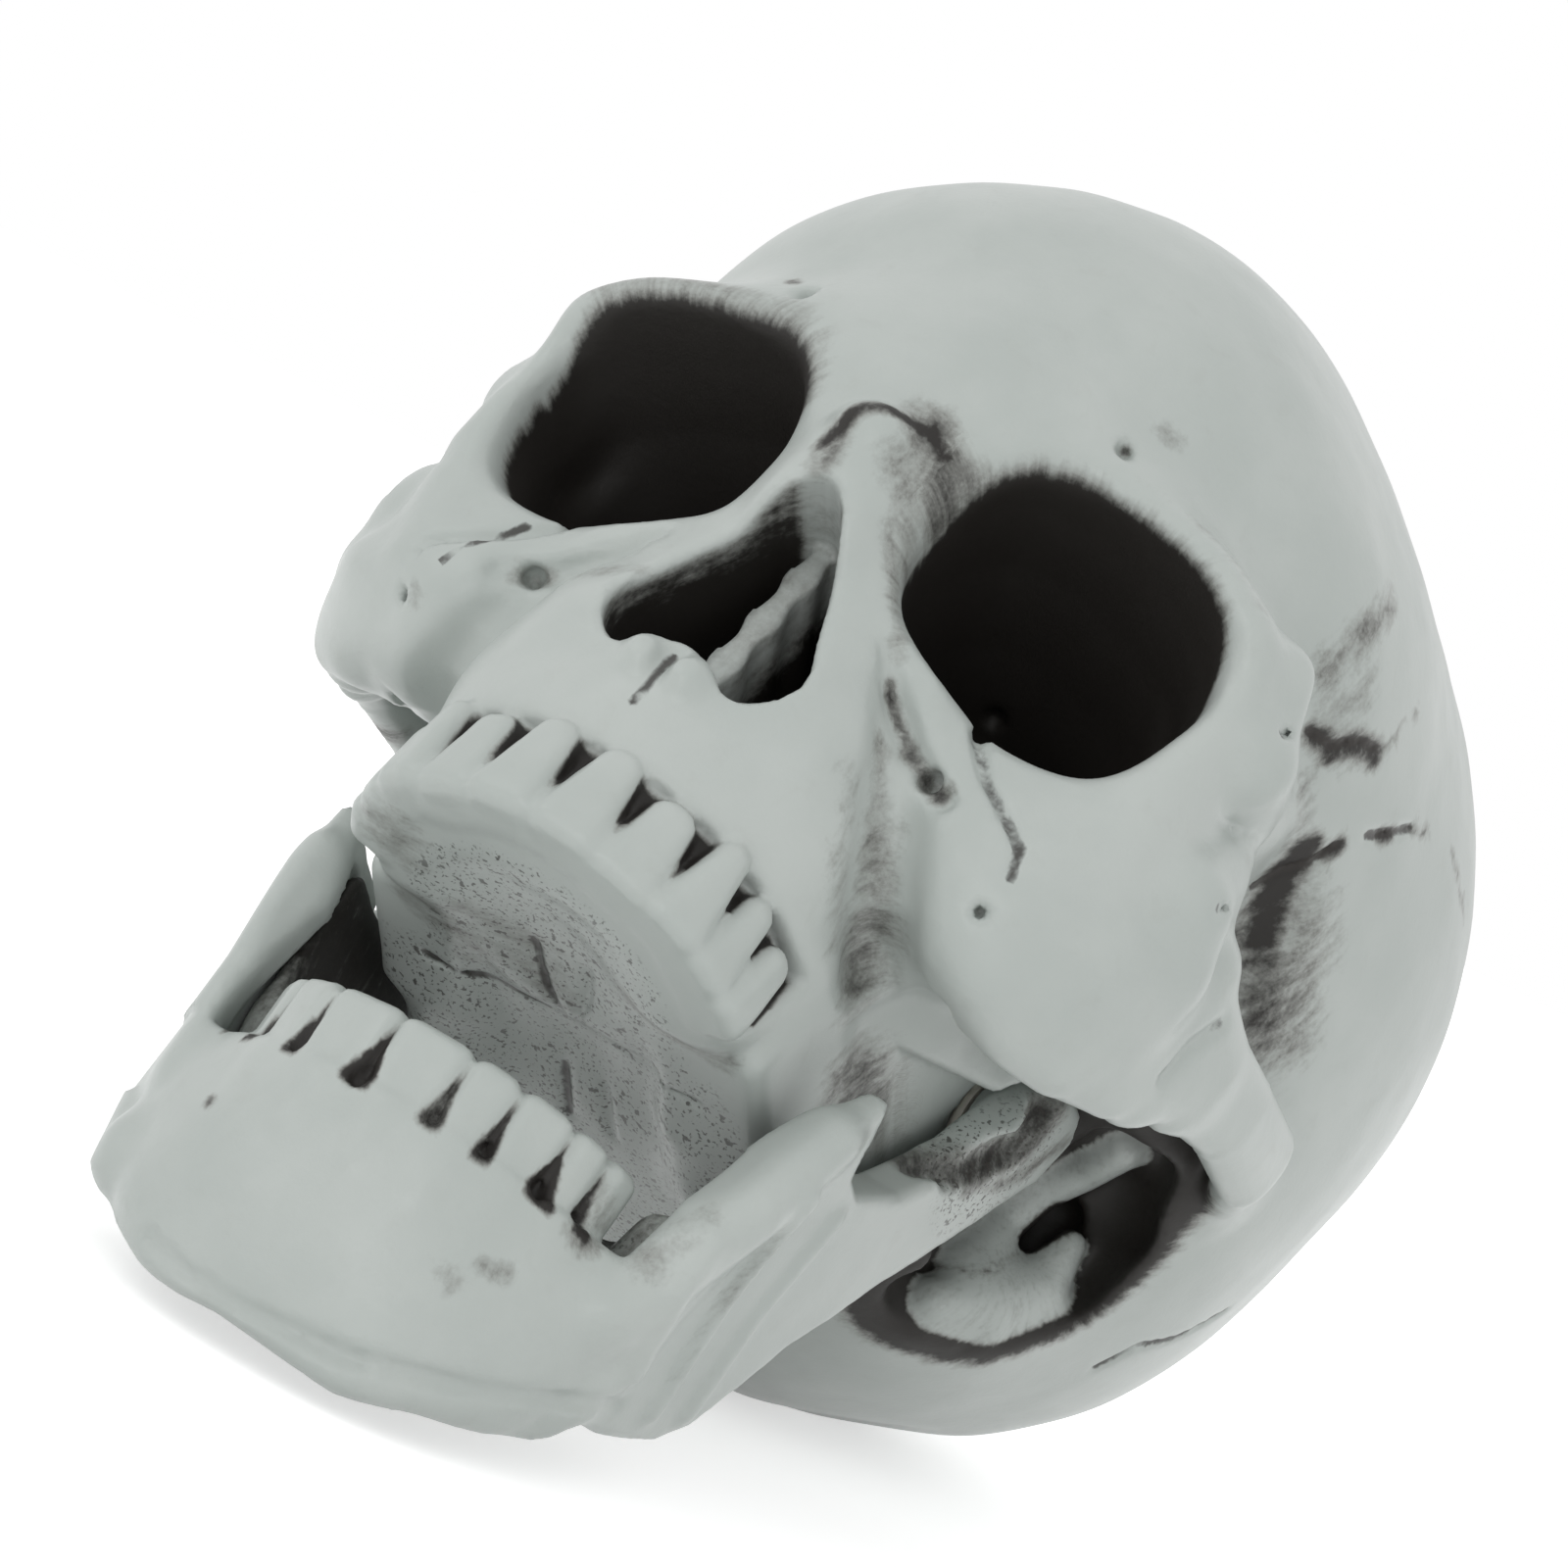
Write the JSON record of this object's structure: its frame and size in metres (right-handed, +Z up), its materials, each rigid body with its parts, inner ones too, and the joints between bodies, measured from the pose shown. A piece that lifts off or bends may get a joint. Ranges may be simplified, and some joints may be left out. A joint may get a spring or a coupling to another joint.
{
  "type": "decorative skull",
  "caption": "Moulded plastic human skull decoration with a hinged lower jaw, lying tipped back on its occiput and chin with the mouth open.",
  "frame": {"origin": "on the table under the middle of the bounding box", "axes": "+X to the skull's own left, +Y from the face to the back of the head, +Z up from the table"},
  "size_m": [0.1304, 0.2196, 0.1568],
  "materials": {
    "bone_plastic": "waxy satin grey-green with a dark brown wash in the recesses",
    "nylon": "plain satin",
    "pin_steel": "plain drawn wire"
  },
  "bodies": {
    "cranium": {"cranium_shell": "bone_plastic", "hinge_bush_left": "nylon", "hinge_bush_right": "nylon", "hinge_washer_left": "nylon", "hinge_washer_right": "nylon"},
    "jaw": {"jaw_outer_shell": "bone_plastic", "jaw_inner_shell": "bone_plastic", "hinge_pin_left": "pin_steel", "hinge_pin_right": "pin_steel"}
  },
  "joints": [
    {"name": "jaw_hinge", "type": "hinge", "parent": "cranium", "child": "jaw", "pos_m": [0, -0.01549, 0.05007], "axis": [1, 0, 0], "range_deg": [-15.5, 0]}
  ]
}
